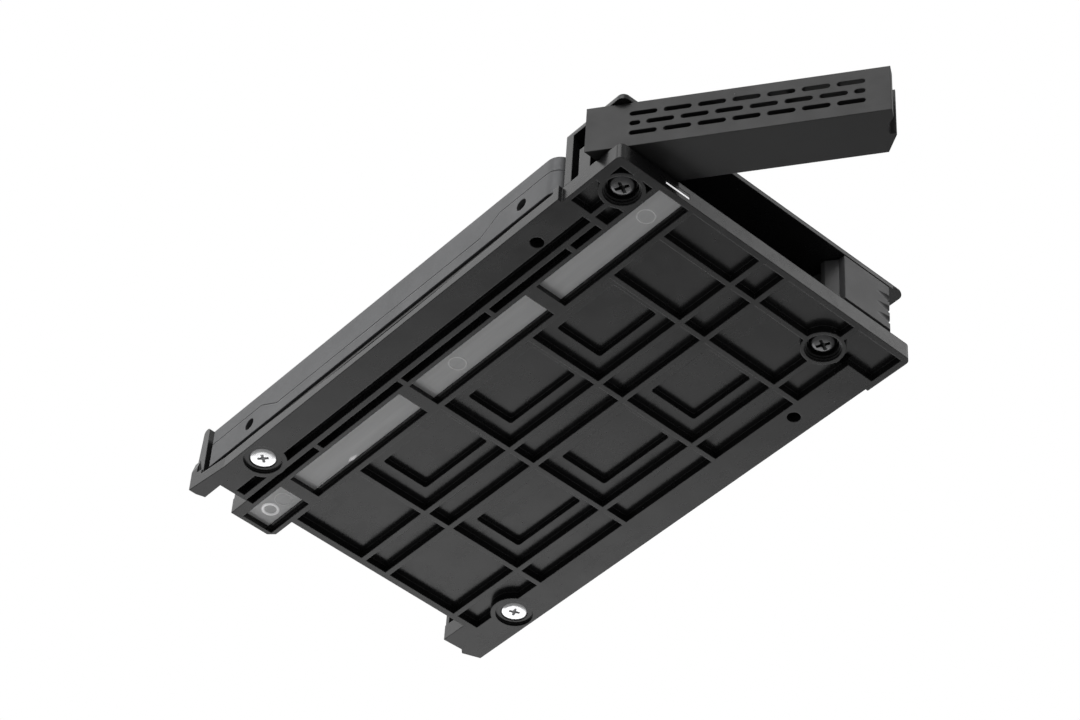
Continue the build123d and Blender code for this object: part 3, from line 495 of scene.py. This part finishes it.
def around(at, radius, turn, height):
    """A point at a radius and an angle about an upright line, and at a height."""
    return at[0] + radius * math.cos(turn), at[1] + radius * math.sin(turn), height


# The torsion springs. The coil and its last leg stay on the tray. The arm under the coil turns
# with the lever or the latch, so neither is cut by its own spring at any pose.

COIL_R = 2.7
WIRE_R = 0.25
WIRE_SIDES = 12
COIL_PITCH = 0.52
COIL_TOP = 14.75
COIL_STEPS = 40
ARM_TURNS = 0.55


def wire(path):
    """Points and faces of a round wire along a path, closed at both ends."""
    points = []
    along = (path[1] - path[0]).normalized()
    side = along.orthogonal().normalized()
    for i, at in enumerate(path):
        ahead = (path[min(i + 1, len(path) - 1)] - path[max(i - 1, 0)]).normalized()
        side = (side - ahead * side.dot(ahead)).normalized()
        up = ahead.cross(side)
        for k in range(WIRE_SIDES):
            turn = 2 * math.pi * k / WIRE_SIDES
            points.append(at + (side * math.cos(turn) + up * math.sin(turn)) * WIRE_R)
    return points, side_faces(len(path), WIRE_SIDES) + end_faces(len(path), WIRE_SIDES)


def coil_points(at, low, start, turns):
    """Points along a rising coil, from an angle in degrees."""
    count = round(COIL_STEPS * turns)
    points = []
    for i in range(count + 1):
        share = turns * i / count
        turn = math.radians(start) + 2 * math.pi * share
        points.append(Vector(around(at, COIL_R, turn, low + COIL_PITCH * share)))
    return points


def torsion_spring(node, body, at, start, turns, legs):
    """A coil with its straight leg, in a node's place, and below it the arm that turns with a body."""
    low = COIL_TOP - COIL_PITCH * turns
    coil = coil_points(at, low, start, turns)
    on = (coil[-1] - coil[-2]).normalized()
    fixed = wire(coil + [coil[-1] + on * legs[1]])
    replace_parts(mesh_piece(node + "_wire", *fixed, "spring_wire"), node)
    arm = coil_points(at, low - COIL_PITCH, start, ARM_TURNS)
    back = (arm[0] - arm[1]).normalized()
    moving = wire([arm[0] + back * legs[0]] + arm)
    mesh_piece(node + "_arm", *moving, "spring_wire", body)


# The screws, with turned heads, cross recesses and threads.

LATHE_SIDES = 40
THREAD_ROWS = 6
THREAD_SIDES = 24
TIP = 0.5
RECESS_FILLET = 0.16
RECESS_ARMS = 4

# The shares of a recess's length and width that are left at its deep end.
RECESS_TAPER = (0.5, 0.75)

# Faces that meet at more than this angle, in degrees, keep a sharp edge.
SHARP_ANGLE = 32


def lathe(profile, at):
    """Points and faces of a closed shape turned about an upright line, from radii and heights."""
    points = []
    for radius, height in profile:
        for k in range(LATHE_SIDES):
            points.append(around(at, radius, 2 * math.pi * k / LATHE_SIDES, height))
    rings = len(profile)
    return points, side_faces(rings, LATHE_SIDES) + end_faces(rings, LATHE_SIDES)


def threaded(at, outer, depth, pitch, span):
    """Points and faces of a threaded shank with a tapered tip, between two heights."""
    rows = round((span[1] - span[0]) / pitch * THREAD_ROWS)
    points = []
    for i in range(rows + 1):
        height = span[0] + (span[1] - span[0]) * i / rows
        for k in range(THREAD_SIDES):
            turn = 2 * math.pi * k / THREAD_SIDES
            wave = abs(2 * (((height - span[0]) / pitch - k / THREAD_SIDES) % 1.0) - 1)
            fade = min(1.0, (height - span[0]) / pitch, (span[1] - height) / pitch)
            radius = outer - depth + depth * fade * (1 - wave)
            if height > span[1] - TIP:
                radius = min(radius, outer - depth + (span[1] - height) - TIP)
            points.append(around(at, radius, turn, height))
    return points, side_faces(rows + 1, THREAD_SIDES) + end_faces(rows + 1, THREAD_SIDES)


def cross_outline(length, width):
    """The outline of a cross recess with eased inner corners, arm by arm."""
    points = []
    eased = width / 2 + RECESS_FILLET
    arm = ((length / 2, -width / 2), (length / 2, width / 2), (eased, width / 2), (width / 2, eased))
    for quarter in range(RECESS_ARMS):
        turn = math.pi / 2 * quarter
        for x, y in arm:
            points.append((x * math.cos(turn) - y * math.sin(turn),
                           x * math.sin(turn) + y * math.cos(turn)))
    return points


def cross_cutter(at, low, size, turn):
    """A tapered cross that cuts the recess up into a screw's head from a height."""
    length, width, deep = size
    angle = math.radians(turn)
    points = []
    levels = ((low - deep, 1.0, 1.0), (low, 1.0, 1.0), (low + deep, *RECESS_TAPER))
    for height, long_share, wide_share in levels:
        for x, y in cross_outline(length * long_share, width * wide_share):
            points.append((at[0] + x * math.cos(angle) - y * math.sin(angle),
                           at[1] + x * math.sin(angle) + y * math.cos(angle), height))
    rings = len(levels)
    sides = len(points) // rings
    return points, end_faces(rings, sides) + side_faces(rings, sides)


def carve(base, others):
    """Joins or cuts an object by others in turn, each given with its operation."""
    for other, operation in others:
        change = base.modifiers.new("change", "BOOLEAN")
        change.operation = operation
        change.solver = "EXACT"
        change.object = other
        bpy.context.view_layer.update()
        final = base.evaluated_get(bpy.context.evaluated_depsgraph_get())
        result = bpy.data.meshes.new_from_object(final)
        base.modifiers.clear()
        base.data = result
        bpy.data.objects.remove(other)


def screw(name, node, slot, at, head, thread, recess, turn):
    """A screw with its turned head, cut recess and thread, in a node's place."""
    base = plain_object(name, *lathe(head, at))
    shank = plain_object(name + "_shank", *threaded(at, *thread))
    cutter = plain_object(name + "_cutter", *cross_cutter(at, head[0][1], recess, turn))
    carve(base, [(shank, "UNION"), (cutter, "DIFFERENCE")])
    for face in base.data.polygons:
        face.use_smooth = True
    base.data.set_sharp_from_angle(angle=math.radians(SHARP_ANGLE))
    base.data.materials.clear()
    base.data.materials.append(MATERIALS[slot])
    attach(base, "tray")
    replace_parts(base, node)


def node_box(node):
    """The low and high corners of a CAD node in millimetres."""
    return [[c / MM for c in corner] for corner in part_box(node)]


JOINTS = {joint["name"]: joint for joint in frame["joints"]}
HINGE = [c / MM for c in JOINTS["lever_swing"]["pos_m"]]
PIVOT = [c / MM for c in JOINTS["latch_press"]["pos_m"]]
OPEN = JOINTS["lever_swing"]["range_deg"][1]

# Heads as radii and heights, from the face with the recess to the top.
PAN_HEAD = [(0.3, 0.9), (1.3, 0.9), (1.75, 0.95), (2.12, 1.1), (2.36, 1.32), (2.47, 1.58),
            (2.5, 1.8), (2.5, 2.1)]
FLAT_HEAD = [(0.3, 0.5), (1.6, 0.5), (2.3, 0.53), (2.46, 0.6), (2.5, 0.72), (2.42, 0.85), (1.5, 2.1)]
HEAD_R = 2.5
SHANK_LOW = 2.0

# Threads as outer radius, depth and pitch. Recesses as length, width and depth. Turns in degrees.
PAN_THREAD = (1.25, 0.25, 0.9)
PAN_RECESS = (2.7, 0.62, 0.9)
PAN_TURN = 25
FLAT_THREAD = (1.25, 0.18, 0.5)
FLAT_RECESS = (2.1, 0.5, 0.8)
FLAT_TURNS = (40, 62)

pan_span = (SHANK_LOW, node_box("pivot_screws")[1][2])
for name, at in (("pivot_screw_left", HINGE), ("pivot_screw_right", PIVOT)):
    screw(name, "pivot_screws", "black_screw", at, PAN_HEAD, (*PAN_THREAD, pan_span),
          PAN_RECESS, PAN_TURN)

silver_low, silver_high = node_box("drive_screws")
silver_y = (silver_low[1] + silver_high[1]) / 2
flat_span = (SHANK_LOW, silver_high[2])
flat_places = {
    "drive_screw_left": silver_low[0] + HEAD_R,
    "drive_screw_right": silver_high[0] - HEAD_R,
}
for (name, x), turn in zip(flat_places.items(), FLAT_TURNS):
    screw(name, "drive_screws", "silver_screw", (x, silver_y), FLAT_HEAD,
          (*FLAT_THREAD, flat_span), FLAT_RECESS, turn)


# The moulded rings and the gate stub on the underside of the light pipe. Their near-white colour and glow are
# painted highlights.

PIPE_LOW = PIPE_LOWEST / MM
PIPE_MIDDLE = -20.95
MARK_SINK = 0.02
MARK_SHOULDER = 0.8


def pipe_mark(name, y, radius, width, height, look):
    """A low moulded ring around a place along the light pipe."""
    top = PIPE_LOW + MARK_SINK
    shoulder = PIPE_LOW - height * MARK_SHOULDER
    profile = [(radius - width / 2, top), (radius - width / 3, shoulder),
               (radius, PIPE_LOW - height),
               (radius + width / 3, shoulder), (radius + width / 2, top)]
    points, _ = lathe(profile, (PIPE_MIDDLE, y))
    rings = len(profile)
    faces = side_faces(rings, LATHE_SIDES)
    last = (rings - 1) * LATHE_SIDES
    for k in range(LATHE_SIDES):
        following = (k + 1) % LATHE_SIDES
        faces.append((last + k, last + following, following, k))
    mark = mesh_piece(name, points, faces, "clear_pipe")
    # The ring takes a near-white glowing material: a painted highlight.
    mark.data.materials[0] = look


# Each mark's place along the pipe, radius, width and height.
pipe_mark("pipe_mark_front", -55.1, 1.6, 0.3, 0.06, PIPE_MARK_HIGHLIGHT)
pipe_mark("pipe_mark_middle", -5.5, 1.6, 0.34, 0.09, PIPE_MARK_HIGHLIGHT)
pipe_mark("pipe_mark_rear", 48.8, 1.45, 0.6, 0.2, PIPE_BRIGHT_HIGHLIGHT)
pipe_mark("pipe_mark_faint", 44.9, 1.6, 0.26, 0.05, PIPE_MARK_HIGHLIGHT)

NICK_AT = (-18.75, 27.0)
NICK_HANG = 0.12
NICK_IN = 0.35
NICK_OUT = 0.42
NICK_RISE = 0.5

# How far along the pipe each section of the stub lies, and its share of the full size.
NICK_ROWS = ((-1.155, 0.1), (-0.88, 0.4), (-0.495, 0.75), (0.0, 1.0),
             (0.495, 0.75), (0.88, 0.4), (1.155, 0.1))

# The heights of a section's three low points, and how far each sinks at full size.
NICK_LOW_POINTS = ((0.14, 0.0), (0.1, 0.1), (0.06, 0.02))


def gate_nick():
    """The torn stub of the moulding gate on the pipe's right edge."""
    points = []
    low = PIPE_LOW - NICK_HANG
    for along, share in NICK_ROWS:
        y = NICK_AT[1] + along
        inner = NICK_AT[0] - NICK_IN * share
        outer = NICK_AT[0] + NICK_OUT * share
        for x, (height, sink) in zip((inner, NICK_AT[0], outer), NICK_LOW_POINTS):
            points.append((x, y, low + height - sink * share))
        points += [(outer, y, low + NICK_RISE), (inner, y, low + NICK_RISE)]
    rings = len(NICK_ROWS)
    sides = len(points) // rings
    faces = side_faces(rings, sides) + end_faces(rings, sides)
    nick = mesh_piece("pipe_gate_nick", points, faces, "clear_pipe")
    # The stub takes the brightest glowing material: a painted highlight.
    nick.data.materials[0] = PIPE_BRIGHT_HIGHLIGHT


gate_nick()


# The springs in their places. Angles are in degrees: where each coil starts, and how far past its
# full turns the last leg leaves, so that the lever and the latch clear it.

FULL_TURNS = 2
HANDLE_START = 90 - OPEN
HANDLE_LATE = 15
HANDLE_TURNS = FULL_TURNS + (HANDLE_LATE - HANDLE_START) / 360
HANDLE_LEGS = (6.0, 5.8)
LATCH_START = 0
LATCH_LATE = 35
LATCH_TURNS = FULL_TURNS + LATCH_LATE / 360
LATCH_LEGS = (3.6, 2.25)
torsion_spring("handle_spring", "handle", HINGE, HANDLE_START, HANDLE_TURNS, HANDLE_LEGS)
torsion_spring("latch_spring", "latch", PIVOT, LATCH_START, LATCH_TURNS, LATCH_LEGS)


# Stage and lights, in metres.

FLOOR_SIZE = 30.0
FLOOR_DROP = 1.0
FLOOR_CLOUD = (3.0, 3.0)
FLOOR_ROUGH = 0.8

# The greys of the floor: what it throws back as light, and what the camera sees.
BOUNCE = (0.3, 0.34)
SEEN = (0.79, 0.81)

floor_material, floor_tree, floor_shader = new_material("floor_paint")
floor_cloud = noise(floor_tree, object_point(floor_tree), *FLOOR_CLOUD)
bounce = ramp(floor_tree, floor_cloud, *BOUNCE)
floor_tree.links.new(bounce, floor_shader.inputs["Base Color"])
floor_shader.inputs["Roughness"].default_value = FLOOR_ROUGH
pale = add(floor_tree, "ShaderNodeEmission")
floor_tree.links.new(ramp(floor_tree, floor_cloud, *SEEN), pale.inputs["Color"])
floor_mix = for_camera(floor_tree, floor_shader.outputs["BSDF"], pale.outputs["Emission"])
floor_output = next(node for node in floor_tree.nodes if node.type == "OUTPUT_MATERIAL")
floor_tree.links.new(floor_mix, floor_output.inputs["Surface"])

bpy.ops.mesh.primitive_plane_add(size=FLOOR_SIZE, location=(0, 0, -FLOOR_DROP))
plane = bpy.context.object
plane.name = "floor"
plane.data.materials.append(floor_material)

# The middle of the part, which every light looks at.
CENTRE = (0.0, -0.02, 0.005)


def area_light(name, place, size, power):
    """A soft rectangular light that looks at the part's middle."""
    data = bpy.data.lights.new(name, "AREA")
    data.shape = "RECTANGLE"
    data.size, data.size_y = size
    data.energy = power
    light = bpy.data.objects.new(name, data)
    light.location = place
    light.rotation_euler = (Vector(CENTRE) - Vector(place)).to_track_quat("-Z", "Y").to_euler()
    bpy.context.scene.collection.objects.link(light)


bpy.context.scene.view_settings.view_transform = "Standard"
area_light("key_upper_front_left", (-0.95, -0.4, 0.95), (0.9, 0.9), 4.4)
area_light("side_soft", (-0.6, 0.75, 0.95), (1.2, 1.2), 4.2)
area_light("front_fill", (0.97, -0.75, 0.85), (0.8, 0.7), 2.3)
area_light("under_rear", (0.68, 1.02, -0.62), (1.0, 1.0), 4.6)

# The studio's soft light by direction, from below the part to above it.
BELOW = 0.15
SKY = 0.42
BELOW_Z = -0.2
SKY_Z = 0.45
WHITE = (1, 1, 1, 1)

world = bpy.data.worlds.new("studio")
bpy.context.scene.world = world
world.use_nodes = True
wtree = world.node_tree
wtree.nodes.clear()
world_out = wtree.nodes.new("ShaderNodeOutputWorld")
direction = add(wtree, "ShaderNodeSeparateXYZ")
generated = add(wtree, "ShaderNodeTexCoord").outputs["Generated"]
wtree.links.new(generated, direction.inputs["Vector"])
soft = add(wtree, "ShaderNodeBackground", inputs={"Color": WHITE})
strength = spread(wtree, direction.outputs["Z"], BELOW, SKY, BELOW_Z, SKY_Z)
wtree.links.new(strength, soft.inputs["Strength"])
backdrop = add(wtree, "ShaderNodeBackground", inputs={"Color": WHITE, "Strength": 1.0})
studio = for_camera(wtree, soft.outputs[0], backdrop.outputs[0])
wtree.links.new(studio, world_out.inputs["Surface"])


# Camera, at the photograph's viewing angle.

FOCAL_PIXELS = 3276.9
IMAGE_WIDTH = 1080
SENSOR = 36.0
CLIP = (0.01, 50.0)
EYE = Vector((-0.26984, -0.34028, -0.41024))
RIGHT = Vector((0.74838, -0.66141, 0.04965))
DOWN = Vector((0.49331, 0.50501, -0.70825))
AHEAD = Vector((0.44337, 0.55453, 0.70422))

camera_data = bpy.data.cameras.new("camera")
camera_data.sensor_width = SENSOR
camera_data.lens = FOCAL_PIXELS / IMAGE_WIDTH * SENSOR
camera_data.clip_start, camera_data.clip_end = CLIP
camera = bpy.data.objects.new("camera", camera_data)
facing = Matrix((RIGHT, -DOWN, -AHEAD)).transposed()
camera.matrix_world = Matrix.Translation(EYE) @ facing.to_4x4()
bpy.context.scene.collection.objects.link(camera)
bpy.context.scene.camera = camera
